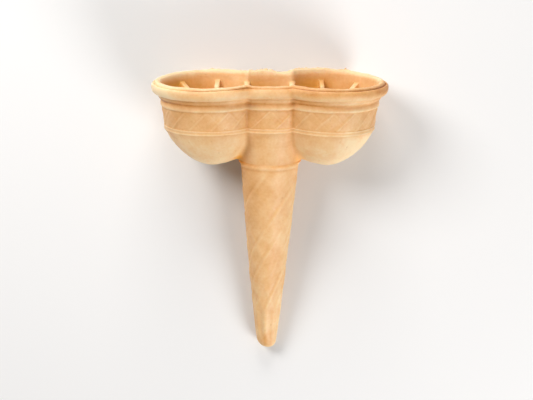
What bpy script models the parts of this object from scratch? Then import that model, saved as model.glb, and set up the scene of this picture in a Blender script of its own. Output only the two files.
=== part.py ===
"""Moulded wafer ice cream cone with two cups.

One baked wafer shell: two round cups side by side, a narrow middle lobe
between them, and a tapered hollow stem below the middle. It lies on its back,
on the backs of the two rim beads and on the back of the stem's tip.

The shell is worked out in its own upright frame, in millimetres:
    u  across, towards the right cup
    v  towards the front
    w  up along the stem, 0 at the top of the lip
and then laid down: u is +X, the rim points to +Y and the front looks up, +Z.

Every level of the shell is one outline: the cup circles joined to the middle
lobe's ellipse where they cross. The outlines run up the outside, over the rim
and down the inside. Below the crossing each cup closes as a dome and the
middle goes on as the stem.
"""

import math

import bmesh
import bpy
from mathutils import Matrix, Vector

# ---------------------------------------------------------------- dimensions
MM = 0.001

# plan
CUP_X = 25.17  # from the middle to a cup's axis, at the lip
SPLAY_LEFT = math.radians(1.1)  # each cup leans outwards a little, about its own axis
SPLAY_RIGHT = math.radians(1.4)
SPLAY_FROM = 7.6  # nearer the middle than this the rim stays level

# rim, on the cup circle
LIP_R = 22.7
LIP_WIDTH = 1.9
GROOVE_R = 24.2
GROOVE_DEEP = 1.1
BEAD_R = 25.3
BEAD_LOW = 5.8
RING_UNDER = 22.5  # the lower, smaller ring under the bead

# wall and waffle band
WALL = 1.9
BAND_TOP = -10.9
BAND_LOW = -18.9
BAND_R_TOP = 21.15
BAND_R_LOW = 20.45
BAND_RELIEF = 0.4
RIDGE = 0.5

# dome under each cup, a superellipse
DOME_FROM = -19.14
DOME_R = 20.1
DOME_DEEP = 18.1
DOME_P = 1.5
DOME_Q = 1.75
DOME_DEEP_IN = 16.1

# middle lobe, each by level: how far its front lies behind the cup's, its
# width / depth, the fuller side of each dome towards the stem, and the fillet
# between the two
INSET_RIM = 5.6
INSET = ((0.0, INSET_RIM), (-6.6, INSET_RIM), (-9.0, 5.2), (-21.0, 5.1), (-25.0, 5.0))
WIDE = ((0.0, 1.9), (-6.5, 1.65), (-10.9, 1.45), (-17.0, 1.33), (-21.3, 1.25), (-24.0, 1.08), (-27.0, 0.99), (-34.9, 1.0))
FULLER = ((-20.0, 0.0), (-23.0, 0.25), (-28.0, 0.9), (-32.0, 1.25), (-35.0, 1.25), (-36.4, 0.6), (-37.2, 0.0))
FILLET = ((0.0, 0.7), (-8.0, 0.9), (-20.0, 1.0), (-25.0, 1.5), (-29.0, 2.6), (-32.0, 4.0), (-34.5, 5.6), (-35.4, 5.8), (-37.2, 0.1))
FUNNEL_TOP = -21.3
FUNNEL_B_TOP = 14.6
FUNNEL_LOW = -34.9
FUNNEL_B_LOW = 12.15

# stem
RING_W = -36.6
RING_R = 12.65
STEM_TOP = -38.3
STEM_R_TOP = 12.35
STEM_LOW = -117.2
STEM_R_LOW = 4.35
STEM_BELLY = 0.25
STEM_LEAN = 1.0 / 80.0
TIP_W = -121.2
BORE_LOW = -113.5
DIAMOND_ROWS = 11  # half diamonds down the stem
DIAMOND_LOW = -104.0
DIAMOND_RELIEF = 0.45

# inner fins
FIN_TOP = -4.0
FIN_SHOULDER = -6.6
FIN_REACH = 4.2
FIN_THICK = 2.2
FIN_ANGLES = (83.5, 129.0, 180.0, 231.0, 276.5)  # round the cup, 0 at the middle
CUSP_REACH = 3.4

# facets
CUP_COLS = 40
MID_COLS = 8
BAND_CELL = 4

# lying down
PITCH = math.radians(10.45)
SINK = 0.25  # depth of the flat spots it rests on


# ------------------------------------------------------------------ profiles
def lerp(a, b, t):
    return a + (b - a) * t


def dome(w, radius, deep):
    t = min(1.0, max(0.0, (DOME_FROM - w) / deep))
    return radius * (1.0 - t**DOME_P) ** (1.0 / DOME_Q)


def stem_radius(w):
    t = (STEM_TOP - w) / (STEM_TOP - STEM_LOW)
    return lerp(STEM_R_TOP, STEM_R_LOW, t) + STEM_BELLY * math.sin(math.pi * t)


def funnel_depth(w):
    t = (FUNNEL_TOP - w) / (FUNNEL_TOP - FUNNEL_LOW)
    return lerp(FUNNEL_B_TOP, FUNNEL_B_LOW, t)


def along(table, w):
    """Value at level w in a table of (level, value), levels falling."""
    if w >= table[0][0]:
        return table[0][1]
    for (w0, v0), (w1, v1) in zip(table, table[1:]):
        if w >= w1:
            return lerp(v0, v1, (w0 - w) / (w0 - w1))
    return table[-1][1]


def inset(w):
    return along(INSET, w)


def wide(w):
    return along(WIDE, w)


def outer_rows():
    """(w, cup radius, middle depth, waffle relief row) from the lip down to where the domes part."""
    rows = [
        (0.0, LIP_R, None, None),
        (-0.35, LIP_R + 0.9, None, None),
        (-GROOVE_DEEP, GROOVE_R, None, None),
        (-0.95, GROOVE_R + 0.5, None, None),
        (-2.3, BEAD_R, None, None),
        (-3.9, BEAD_R - 0.15, None, None),
        (-5.0, BEAD_R - 0.85, None, None),
        (-BEAD_LOW, RING_UNDER + 0.25, None, None),
        (-7.2, RING_UNDER, None, None),
        (-8.7, BAND_R_TOP + 0.4, None, None),
        (-10.1, BAND_R_TOP + RIDGE + 0.05, None, None),
    ]
    for i in range(BAND_CELL + 1):
        t = i / BAND_CELL
        rows.append((lerp(BAND_TOP, BAND_LOW, t), lerp(BAND_R_TOP, BAND_R_LOW, t), None, i))
    rows.append((-19.5, BAND_R_LOW + 0.3, None, None))
    rows.append((-20.5, BAND_R_LOW + 0.05, None, None))
    rows.append((FUNNEL_TOP, dome(FUNNEL_TOP, DOME_R, DOME_DEEP), funnel_depth(FUNNEL_TOP), None))
    for w in (-24.0, -26.8, -29.4, -31.7, -33.5):
        rows.append((w, dome(w, DOME_R, DOME_DEEP), funnel_depth(w), None))
    out = []
    for w, r, b, relief in rows:
        out.append((w, r, r - inset(w) if b is None else b, relief))
    return out


def inner_rows():
    """The same for the inside, from the lip down."""
    rows = [
        (-0.35, LIP_R - 0.9, None),
        (-1.2, LIP_R + 0.35 - LIP_WIDTH, None),
        (FIN_TOP, 20.7, None),
        (FIN_SHOULDER, 20.3, None),
        (-12.0, 19.25, None),
        (DOME_FROM, 18.4, None),
        (-22.5, dome(-22.5, 18.3, DOME_DEEP_IN), funnel_depth(-22.5) - WALL),
        (-25.5, dome(-25.5, 18.3, DOME_DEEP_IN), funnel_depth(-25.5) - WALL),
    ]
    out = []
    for w, r, b in rows:
        out.append((w, r, r - inset(w) if b is None else b, None))
    return out


# ------------------------------------------------------------------ outlines
def splay(side):
    return SPLAY_RIGHT if side > 0 else SPLAY_LEFT


def cup_axis(side, w):
    return CUP_X + w * math.sin(splay(side))


def crossing(side, w, r, b):
    """(u, v) where the cup circle crosses the middle's ellipse, or None where they are apart."""
    c, a = cup_axis(side, w), b * wide(w)
    low, high = c - r, min(a, c)
    if low >= a:
        return None
    for _ in range(60):
        u = 0.5 * (low + high)
        cup = math.sqrt(max(0.0, r * r - (u - c) ** 2))
        middle = b * math.sqrt(max(0.0, 1.0 - (u / a) ** 2))
        if cup < middle:
            low = u
        else:
            high = u
    u = 0.5 * (low + high)
    return u, math.sqrt(max(0.0, r * r - (u - c) ** 2))


def middle_gap(u, v, a, b):
    """How far a point lies outside the middle's ellipse, along the line from its centre."""
    far = math.hypot(u, v) + 1e-9
    return far - far / (math.hypot(u / a, v / b) + 1e-9)


def swell(gap, w):
    """What the fillet adds to one body where the other is this far off."""
    k = along(FILLET, w)
    return 0.25 * k * (1.0 if gap <= 0.0 else min(1.0, max(0.0, 1.0 - gap / k)) ** 2)


def cup_side(w, r, angle):
    return r + along(FULLER, w) * (0.5 + 0.5 * math.cos(angle)) ** 1.5


def cup_reach(side, w, r, b, angle):
    """Radius of the cup's outside at this angle, fillet included."""
    base = rho = cup_side(w, r, angle)
    for _ in range(14):
        u, v, _w = cup_point(side, w, rho, angle)
        rho = base + swell(middle_gap(u, v, b * wide(w), b) - (rho - base), w)
    return rho


def middle_reach(w, r, b, angle):
    """(u, v) of the middle's outside at this angle from its front, fillet included."""
    u, v = b * wide(w) * math.sin(angle), b * math.cos(angle)
    far, add = math.hypot(u, v), 0.0
    for _ in range(14):
        uu, vv = u * (far + add) / far, v * (far + add) / far
        more = 0.0
        for side in (1, -1):
            across = cup_axis(side, w) - side * uu
            base = cup_side(w, r, math.atan2(vv, across))
            more = max(more, swell(math.hypot(across, vv) - base - add, w))
        add = more
    return u * (far + add) / far, v * (far + add) / far


def filleted_crossing(side, w, r, b):
    """(u, v, angle) of the middle of the fillet, or None where the cup and the middle are apart."""
    grow = 0.25 * along(FILLET, w)

    def gap(angle):
        u, v, _w = cup_point(side, w, cup_side(w, r, angle) + grow, angle)
        return middle_gap(u, v, b * wide(w), b) - grow

    if gap(0.0) > 0.0:
        return None
    low, high = 0.0, 0.98 * math.pi
    for _ in range(50):
        angle = 0.5 * (low + high)
        if gap(angle) < 0.0:
            low = angle
        else:
            high = angle
    angle = 0.5 * (low + high)
    u, v, _w = cup_point(side, w, cup_side(w, r, angle) + grow, angle)
    return abs(u), v, angle


def lie(u, v, w, stem=False):
    """Upright millimetres to world metres, before the part is set down on the floor."""
    if stem:
        u -= STEM_LEAN * max(0.0, STEM_TOP - w)
    else:
        near = min(1.0, max(0.0, abs(u) - SPLAY_FROM) / 2.0)
        w -= near * math.tan(splay(u)) * (abs(u) - CUP_X)
    y = w * math.cos(PITCH) - v * math.sin(PITCH)
    z = w * math.sin(PITCH) + v * math.cos(PITCH)
    return Vector((u, y, z)) * MM


# ------------------------------------------------------------------ the shell
class Shell:
    def __init__(self):
        self.bm = bmesh.new()

    def vert(self, u, v, w, stem=False):
        return self.bm.verts.new(lie(u, v, w, stem))

    def face(self, corners, diagonal=0):
        loop = []
        for corner in corners:
            if corner not in loop:
                loop.append(corner)
        if len(loop) == 4:
            if diagonal:
                loop = loop[1:] + loop[:1]
            self.bm.faces.new((loop[0], loop[1], loop[2]))
            self.bm.faces.new((loop[0], loop[2], loop[3]))
        elif len(loop) == 3:
            self.bm.faces.new(loop)

    def strip(self, upper, lower, odd=0):
        for j in range(len(upper) - 1):
            self.face((upper[j], upper[j + 1], lower[j + 1], lower[j]), (j + odd) % 2)

    def cap(self, ring, pole):
        for j in range(len(ring) - 1):
            self.face((ring[j], ring[j + 1], pole))


def cup_point(side, w, r, angle):
    """A point of the cup circle; the angle is 0 at the middle, 90 degrees at the front."""
    return side * (cup_axis(side, w) - r * math.cos(angle)), r * math.sin(angle), w


def waffle(i, row):
    """Recess of a lattice point: none on the crossing ridges, full between them."""
    if row is None:
        return 0.0
    if (i - row) % BAND_CELL == 0 or (i + row) % BAND_CELL == 0:
        return 0.0
    return BAND_RELIEF


def outer_row(shell, w, r, b, relief, part=False):
    """One level of the outside: columns of the right cup R, the back B, the left cup L and the front F."""
    row, ends = {}, {}
    a = b * wide(w)
    grow = 0.25 * along(FILLET, w)
    for side in (1, -1):
        cross = None if part else filleted_crossing(side, w, r, b)
        if cross is None:
            u = 0.5 * (cup_axis(side, w) - cup_side(w, r, 0.0) + a)
            front = back = shell.vert(side * u, 0.0, w)
            start = 0.0
            ends[side] = 0.5 * math.pi
        else:
            u, v, start = cross
            front = shell.vert(side * u, v, w)
            back = shell.vert(side * u, -v, w)
            ends[side] = math.atan2(u / (a + grow), v / (b + grow))
        column = [front]
        for j in range(1, CUP_COLS):
            angle = lerp(start, 2 * math.pi - start, j / CUP_COLS)
            column.append(shell.vert(*cup_point(side, w, cup_reach(side, w, r, b, angle) - waffle(j, relief), angle)))
        column.append(back)
        row["R" if side > 0 else "L"] = column
    for name, sign, first, last in (
        ("F", 1, row["L"][0], row["R"][0]),
        ("B", -1, row["L"][-1], row["R"][-1]),
    ):
        column = [first]
        for j in range(1, MID_COLS):
            angle = lerp(-ends[-1], ends[1], j / MID_COLS)
            u, v = middle_reach(w, r, b, angle)
            less = 1.0 - waffle(j, relief) / math.hypot(u, v)
            column.append(shell.vert(u * less, sign * v * less, w))
        column.append(last)
        row[name] = column
    return row


def fin_reach(w):
    if w > FIN_SHOULDER:
        return FIN_REACH * max(0.0, (FIN_TOP - w) / (FIN_TOP - FIN_SHOULDER))
    if w > DOME_FROM:
        return FIN_REACH
    return FIN_REACH * max(0.0, 1.0 - (DOME_FROM - w) / 14.5) ** 0.6


def cup_inside(side, w, r, lift, start):
    """Columns of the inside of one cup: plain wall with the radial fins standing in from it."""
    stops = []
    reach = fin_reach(w)
    half = 0.5 * FIN_THICK
    marks = [start]
    for degrees in FIN_ANGLES:
        middle = math.radians(degrees)
        outer, inner = half / r, 0.86 * half / max(r - reach, 2.0)
        if reach <= 0.0:
            inner = 0.5 * outer
        marks.append(("fin", middle - outer, middle - inner, middle + inner, middle + outer))
    marks.append(2 * math.pi - start)
    here = marks[0]
    steps = 3
    for mark in marks[1:]:
        goal = mark[1] if isinstance(mark, tuple) else mark
        for j in range(1, steps + 1):
            stops.append((lerp(here, goal, j / steps), 0.0))
        if isinstance(mark, tuple):
            stops.append((mark[2], reach))
            stops.append((mark[3], reach))
            stops.append((mark[4], 0.0))
            here = mark[4]
    points = []
    for angle, rise in stops[:-1]:
        u, v, _ = cup_point(side, w, r - rise * math.cos(lift), angle)
        points.append((u, v, w + rise * math.sin(lift)))
    return points


def inner_row(shell, w, r, b, part=False):
    """One level of the inside, with a fin on each cusp between a cup and the middle."""
    row, ends = {}, {}
    a = b * wide(w)
    lift = math.atan2(max(0.0, DOME_FROM - w), r) * 0.9
    cusp = CUSP_REACH * min(1.0, fin_reach(w) / FIN_REACH)
    if w < DOME_FROM:
        cusp *= 0.4
    for side in (1, -1):
        cross = None if part else crossing(side, w, r, b)
        if cross is None:
            u, v = 0.5 * (cup_axis(side, w) - r + a), 0.0
            start = 0.0
        else:
            u, v = cross
            start = math.atan2(v, cup_axis(side, w) - u)
        ends[side] = u
        wing = 0.9 / r
        column = []
        if part:
            column.append(shell.vert(side * u, 0.0, w))
            for p in cup_inside(side, w, r, lift, wing * 2)[0:]:
                column.append(shell.vert(*p))
            first = shell.vert(*cup_point(side, w, r, wing * 2))
            last = shell.vert(*cup_point(side, w, r, 2 * math.pi - wing * 2))
            column = [column[0], first] + column[1:] + [last, column[0]]
        else:
            column.append(shell.vert(side * u, v - cusp, w))
            column.append(shell.vert(*cup_point(side, w, r, start + wing)))
            for p in cup_inside(side, w, r, lift, start + wing):
                column.append(shell.vert(*p))
            column.append(shell.vert(*cup_point(side, w, r, 2 * math.pi - start - wing)))
            column.append(shell.vert(side * u, -v + cusp, w))
        row["R" if side > 0 else "L"] = column
    right, left = (math.asin(min(1.0, ends[s] / a)) for s in (1, -1))
    wing = 0.9 / a
    for name, sign, first, last in (
        ("F", 1, row["L"][0], row["R"][0]),
        ("B", -1, row["L"][-1], row["R"][-1]),
    ):
        column = [first]
        for j in range(0, MID_COLS - 1):
            angle = lerp(-left + wing, right - wing, j / (MID_COLS - 2))
            column.append(shell.vert(a * math.sin(angle), sign * b * math.cos(angle), w))
        column.append(last)
        row[name] = column
    return row


def ring_row(shell, w, radius, recess=None, web=False):
    """One level of the stem or the bore, starting at the left like the front columns above it."""
    count = 2 * MID_COLS
    ring = []
    for j in range(count):
        angle = -0.5 * math.pi + 2 * math.pi * j / count
        rho = radius - (recess(j) if recess else 0.0)
        u, v = rho * math.sin(angle), rho * math.cos(angle)
        if web:
            sign = -1.0 if v < 0.0 else 1.0
            flat = angle if v >= 0.0 else math.pi - angle
            u, v = middle_reach(w, dome(w, DOME_R, DOME_DEEP), radius, flat)
            v *= sign
        ring.append(shell.vert(u, v, w, stem=True))
    front = ring[: MID_COLS + 1]
    back = [ring[0]] + ring[: MID_COLS - 1 : -1]
    return {"F": front, "B": back}


def join(shell, rows, names, odd=0):
    for k in range(len(rows) - 1):
        for name in names:
            shell.strip(rows[k][name], rows[k + 1][name], odd + k)


def separation(row_radius, row_depth, low, high):
    """The level where the cups part from the middle."""
    for _ in range(50):
        w = 0.5 * (low + high)
        gap = 0.0
        for side in (1, -1):
            gap += cup_axis(side, w) - row_radius(w) - row_depth(w) * wide(w)
        if gap > 0:
            low = w
        else:
            high = w
    return 0.5 * (low + high)


def parting():
    """The level where the fillets of the cups and the middle let go."""
    low, high = -37.0, -30.0
    for _ in range(50):
        w = 0.5 * (low + high)
        held = all(filleted_crossing(side, w, dome(w, DOME_R, DOME_DEEP), funnel_depth(w)) for side in (1, -1))
        if held:
            high = w
        else:
            low = w
    return 0.5 * (low + high)


def build_shell():
    shell = Shell()

    # outside, from the lip down to where the domes part from the middle
    outer = [outer_row(shell, *row) for row in outer_rows()]
    level = parting()
    part = outer_row(shell, level, dome(level, DOME_R, DOME_DEEP), funnel_depth(level), None, part=True)
    outer.append(part)
    join(shell, outer, "RBLF")

    # the domes
    for side, name in ((1, "R"), (-1, "L")):
        rows = [part[name]]
        for w in (-35.5, -36.3, -36.95):
            ring = []
            for j in range(CUP_COLS):
                angle = 2 * math.pi * j / CUP_COLS
                rho = cup_reach(side, w, dome(w, DOME_R, DOME_DEEP), funnel_depth(w), angle)
                ring.append(shell.vert(*cup_point(side, w, rho, angle)))
            ring.append(ring[0])
            shell.strip(rows[-1], ring)
            rows.append(ring)
        shell.cap(rows[-1], shell.vert(side * cup_axis(side, -37.2), 0.0, DOME_FROM - DOME_DEEP))

    # the stem: funnel, ring, diamond lattice, plain tip
    rows = [{"F": part["F"], "B": part["B"]}]
    for w, radius in ((-35.35, FUNNEL_B_LOW), (-36.0, RING_R), (-37.2, RING_R)):
        rows.append(ring_row(shell, w, radius, web=True))
    for i in range(DIAMOND_ROWS + 1):
        w = lerp(STEM_TOP, DIAMOND_LOW, i / DIAMOND_ROWS)
        rows.append(ring_row(shell, w, stem_radius(w), lambda j, i=i: DIAMOND_RELIEF * ((i + j) % 2)))
    for w, radius in ((-112.0, None), (STEM_LOW, None), (-118.9, 3.75), (-120.3, 2.75), (-120.95, 1.5)):
        rows.append(ring_row(shell, w, stem_radius(w) if radius is None else radius))
    join(shell, rows, "FB")
    pole = shell.vert(0.0, 0.0, TIP_W, stem=True)
    for name in "FB":
        shell.cap(rows[-1][name], pole)

    # inside, from the lip down
    inner = [inner_row(shell, w, r, b) for w, r, b, _ in inner_rows()]
    # the lip's own step: outside columns and inside columns differ, so a flat
    # ring of the same columns as the inside closes the crest
    crest = inner_row(shell, 0.0, LIP_R - 0.25, LIP_R - 0.25 - INSET_RIM)
    inner.insert(0, crest)
    level_in = separation(lambda w: dome(w, 18.3, DOME_DEEP_IN), lambda w: funnel_depth(w) - WALL, -34.0, -24.0)
    part_in = inner_row(shell, level_in, dome(level_in, 18.3, DOME_DEEP_IN), funnel_depth(level_in) - WALL, part=True)
    inner.append(part_in)
    join(shell, inner, "RBLF")
    for side, name in ((1, "R"), (-1, "L")):
        last = part_in[name]
        for w in (-31.0, -33.2, -34.6):
            r = dome(w, 18.3, DOME_DEEP_IN)
            lift = math.atan2(DOME_FROM - w, r) * 0.9
            wing = 1.8 / r
            ring = [shell.vert(*cup_point(side, w, r, 0.0)), shell.vert(*cup_point(side, w, r, wing))]
            for p in cup_inside(side, w, r, lift, wing):
                ring.append(shell.vert(*p))
            ring.append(shell.vert(*cup_point(side, w, r, 2 * math.pi - wing)))
            ring.append(ring[0])
            shell.strip(last, ring)
            last = ring
        shell.cap(last, shell.vert(side * cup_axis(side, -35.0), 0.0, DOME_FROM - DOME_DEEP_IN))
    rows = [{"F": part_in["F"], "B": part_in["B"]}]
    for w in (-32.0, -38.3, -52.0, -66.0, -80.0, -94.0, -106.0, -112.0):
        radius = (funnel_depth(w) if w > STEM_TOP else stem_radius(w)) - WALL - 0.15
        rows.append(ring_row(shell, w, radius))
    join(shell, rows, "FB")
    pole = shell.vert(0.0, 0.0, BORE_LOW, stem=True)
    for name in "FB":
        shell.cap(rows[-1][name], pole)

    # the crest between the two sets of columns
    for name in "RBLF":
        bridge(shell, crest[name], outer[0][name])
    return shell.bm


def bridge(shell, one, two):
    """Triangles between two chains of different counts, by shortest next edge."""
    i = j = 0
    while i < len(one) - 1 or j < len(two) - 1:
        step_one = (one[i + 1].co - two[j].co).length if i < len(one) - 1 else 1e9
        step_two = (one[i].co - two[j + 1].co).length if j < len(two) - 1 else 1e9
        if step_one < step_two:
            shell.face((one[i], one[i + 1], two[j]))
            i += 1
        else:
            shell.face((one[i], two[j + 1], two[j]))
            j += 1


def set_down(bm):
    """Lowers the shell so that the floor cuts the flat spots, then moves the origin under its middle."""
    beads = min(p.co.z for p in bm.verts if p.co.y > -0.03)
    tip = min(p.co.z for p in bm.verts if p.co.y < -0.09)
    lean = math.atan2(beads - tip, 0.115)
    bmesh.ops.rotate(bm, verts=bm.verts, cent=(0, 0, 0), matrix=Matrix.Rotation(-lean, 3, "X"))
    low = min(p.co.z for p in bm.verts)
    bmesh.ops.translate(bm, verts=bm.verts, vec=(0, 0, -low - SINK * MM))
    cut = bmesh.ops.bisect_plane(
        bm,
        geom=bm.verts[:] + bm.edges[:] + bm.faces[:],
        dist=1e-7,
        plane_co=(0, 0, 0),
        plane_no=(0, 0, -1),
        clear_outer=True,
    )
    rim = [e for e in cut["geom_cut"] if isinstance(e, bmesh.types.BMEdge) and e.is_boundary]
    bmesh.ops.holes_fill(bm, edges=rim, sides=0)
    xs = [p.co.x for p in bm.verts]
    ys = [p.co.y for p in bm.verts]
    middle = Vector((0.5 * (min(xs) + max(xs)), 0.5 * (min(ys) + max(ys)), 0.0))
    bmesh.ops.translate(bm, verts=bm.verts, vec=-middle)


def wafer_material():
    material = bpy.data.materials.new("wafer")
    material.use_nodes = True
    shader = material.node_tree.nodes["Principled BSDF"]
    shader.inputs["Base Color"].default_value = (0.80, 0.52, 0.25, 1.0)
    shader.inputs["Roughness"].default_value = 0.62
    shader.inputs["Metallic"].default_value = 0.0
    return material


def main():
    for old in list(bpy.data.objects):
        bpy.data.objects.remove(old, do_unlink=True)

    bm = build_shell()
    bmesh.ops.remove_doubles(bm, verts=bm.verts, dist=1e-7)
    bmesh.ops.recalc_face_normals(bm, faces=bm.faces)
    set_down(bm)
    bmesh.ops.triangulate(bm, faces=[f for f in bm.faces if len(f.verts) > 3])
    mesh = bpy.data.meshes.new("wafer_cone")
    bm.to_mesh(mesh)
    bm.free()
    mesh.materials.append(wafer_material())
    mesh.shade_smooth()
    mesh.set_sharp_from_angle(angle=math.radians(32))
    cone = bpy.data.objects.new("wafer_cone", mesh)
    bpy.context.scene.collection.objects.link(cone)


main()
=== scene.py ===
"""Looks of the twin-cup wafer ice cream cone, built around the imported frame.

The wafer is one mesh, worked out in its own upright frame in millimetres:
u across, v towards the front, w up along the stem with 0 at the top of the lip.
Every level is one outline, the two cup circles smoothly joined to the middle
lobe's ellipse. It is then laid on its back exactly as the CAD solid lies.
"""

import math

import bmesh
import bpy
import numpy as np
from mathutils import Matrix, Vector, noise


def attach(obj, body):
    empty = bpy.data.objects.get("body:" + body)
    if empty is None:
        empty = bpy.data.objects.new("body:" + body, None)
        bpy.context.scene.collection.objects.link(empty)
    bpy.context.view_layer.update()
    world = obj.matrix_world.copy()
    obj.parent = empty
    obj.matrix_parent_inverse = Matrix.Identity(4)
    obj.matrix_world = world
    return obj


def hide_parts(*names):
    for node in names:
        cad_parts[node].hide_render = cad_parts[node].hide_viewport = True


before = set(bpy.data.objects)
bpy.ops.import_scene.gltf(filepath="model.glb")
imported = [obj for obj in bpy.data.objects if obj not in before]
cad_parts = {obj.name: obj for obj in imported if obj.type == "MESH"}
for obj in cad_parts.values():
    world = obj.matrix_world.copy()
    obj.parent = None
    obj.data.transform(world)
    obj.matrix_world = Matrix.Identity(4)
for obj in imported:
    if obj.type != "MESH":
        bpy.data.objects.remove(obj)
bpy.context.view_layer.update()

MM = 0.001
DEG = math.pi / 180.0

# ------------------------------------------------------------------ sizes, mm
CUP_X = 25.17
SPLAY = {1: 1.4 * DEG, -1: 1.1 * DEG}
SPLAY_FROM = 7.6
LIP_R = 22.7
LIP_WIDTH = 1.9
BAND_TOP, BAND_LOW = -10.9, -18.7
DOME_FROM, DOME_R, DOME_DEEP = -19.14, 20.1, 18.1
DOME_R_IN, DOME_DEEP_IN = 18.3, 16.1
DOME_P, DOME_Q = 1.5, 1.75
INSET_RIM, INSET_BAND = 5.6, 5.2
FUNNEL_TOP, FUNNEL_B_TOP = -21.3, 14.6
FUNNEL_LOW, FUNNEL_B_LOW = -34.9, 12.15
RING_R = 12.65
STEM_TOP, STEM_R_TOP = -38.3, 12.35
STEM_LOW, STEM_R_LOW = -117.2, 4.35
STEM_BELLY = 0.25
STEM_LEAN = 1.0 / 80.0
TIP_W = -121.2
WALL = 1.9
FIN_TOP, FIN_SHOULDER, FIN_REACH, FIN_HALF = -4.0, -6.6, 4.2, 1.2
FIN_ANGLES = (83.5, 129.0, 180.0, 231.0, 276.5)
CUSP_REACH = 3.4
BORE_LOW = -113.5

# how the cone lies: turned back about X, then moved, as in the CAD
PITCH = 10.395863342819446 * DEG
SHIFT = (0.0060, 57.5537, 25.1773)

CUP_COLS = 232
MID_COLS = 58


def lerp(a, b, t):
    return a + (b - a) * t


def curve(points):
    """Smooth (monotone-ish) curve through (x, y) points, x falling. Returns a function of x."""
    xs = np.array([p[0] for p in points], float)[::-1]
    ys = np.array([p[1] for p in points], float)[::-1]
    h = np.diff(xs)
    d = np.diff(ys) / h
    m = np.zeros_like(ys)
    for i in range(1, len(ys) - 1):
        if d[i - 1] * d[i] > 0:
            w1, w2 = 2 * h[i] + h[i - 1], h[i] + 2 * h[i - 1]
            m[i] = (w1 + w2) / (w1 / d[i - 1] + w2 / d[i])
    m[0], m[-1] = d[0], d[-1]

    def at(x):
        x = np.clip(x, xs[0], xs[-1])
        i = np.clip(np.searchsorted(xs, x) - 1, 0, len(h) - 1)
        t = (x - xs[i]) / h[i]
        return (
            ys[i] * (1 + 2 * t) * (1 - t) ** 2
            + h[i] * m[i] * t * (1 - t) ** 2
            + ys[i + 1] * t * t * (3 - 2 * t)
            + h[i] * m[i + 1] * t * t * (t - 1)
        )

    return at


def dome(w, radius, deep):
    t = min(1.0, max(0.0, (DOME_FROM - w) / deep))
    return radius * (1.0 - t**DOME_P) ** (1.0 / DOME_Q)


def stem_radius(w):
    t = (STEM_TOP - w) / (STEM_TOP - STEM_LOW)
    return lerp(STEM_R_TOP, STEM_R_LOW, t) + STEM_BELLY * math.sin(math.pi * t)


def funnel_depth(w):
    t = (FUNNEL_TOP - w) / (FUNNEL_TOP - FUNNEL_LOW)
    return lerp(FUNNEL_B_TOP, FUNNEL_B_LOW, t)


# how far the middle's front lies behind the cups', its width / depth, the
# fuller side of each dome towards the stem, and the fillet between the two
inset = curve([(0.0, 5.6), (-6.6, 5.6), (-9.0, 5.2), (-21.0, 5.1), (-25.0, 5.0)])
wide = curve([(0.0, 1.9), (-6.5, 1.65), (-10.9, 1.45), (-17.0, 1.33), (-21.3, 1.25), (-24.0, 1.08), (-27.0, 0.99), (-30.0, 0.985), (-34.9, 1.02), (-36.0, 1.0)])
fuller = curve([(-20.0, 0.0), (-23.0, 0.25), (-28.0, 0.9), (-32.0, 1.25), (-35.0, 1.25), (-36.4, 0.6), (-37.2, 0.0)])
fillet = curve([(0.0, 0.7), (-8.0, 0.9), (-20.0, 1.0), (-25.0, 1.5), (-29.0, 2.6), (-32.0, 4.4), (-34.0, 6.0), (-35.35, 7.7), (-35.8, 9.4), (-36.4, 9.8), (-37.2, 8.0), (-38.0, 6.0)])


def cup_axis(side, w):
    return CUP_X + w * math.sin(SPLAY[side])


def middle_gap(u, v, a, b):
    """Distance of points outside the middle's ellipse, along the line from its centre."""
    far = np.sqrt(u * u + v * v) + 1e-9
    q = np.sqrt((u / a) ** 2 + (v / b) ** 2) + 1e-9
    return far - far / q


def swell(gap, k):
    """How much the fillet adds where the other body is this much further off."""
    h = np.clip(1.0 - gap / k, 0.0, 1.0)
    return 0.25 * k * h * h


def crossing(side, w, r, b, a, k):
    """(u, v) of the fillet's middle, or None where the two are apart."""
    c = cup_axis(side, w)
    grow = 0.25 * k
    lo, hi = 0.0, math.pi * 0.98

    def gap(theta):
        rr = r + grow + fuller(w) * (0.5 + 0.5 * math.cos(theta)) ** 1.5
        u, v = c - rr * math.cos(theta), rr * math.sin(theta)
        return float(middle_gap(np.array(u), np.array(v), a, b)) - grow

    if gap(0.0) > 0.0:
        return None
    for _ in range(50):
        mid = 0.5 * (lo + hi)
        if gap(mid) < 0.0:
            lo = mid
        else:
            hi = mid
    theta = 0.5 * (lo + hi)
    rr = r + grow + fuller(w) * (0.5 + 0.5 * math.cos(theta)) ** 1.5
    return c - rr * math.cos(theta), rr * math.sin(theta), theta


# ------------------------------------------------------------------ relief
BAND_MID = 0.5 * (BAND_TOP + BAND_LOW)
CELL = 25.7  # degrees of cup circle from one slanted ridge to the next
SLANT = 2.75  # degrees per mm of height, 45 degrees on the wall
PHASE = {1: -7.0, -1: 11.2}
MID_CELL = 10.3
MID_PHASE = -3.9
DIA_TURN = 45.0 / 12.6  # degrees of stem per mm of height
DIA_W, DIA_PHI = -61.5, 3.0


def ridge(x, width):
    return np.exp(-((x / width) ** 2))


def saw(t):
    """Distance from the nearest multiple of 1, from -0.5 to 0.5."""
    return t - np.round(t)


def smooth(x, lo, hi):
    t = np.clip((x - lo) / (hi - lo), 0.0, 1.0)
    return t * t * (3 - 2 * t)


def cell_level(i, j):
    """A fixed small level for each panel."""
    v = np.sin(i * 12.9898 + j * 78.233) * 43758.5453
    return v - np.floor(v) - 0.5


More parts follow.
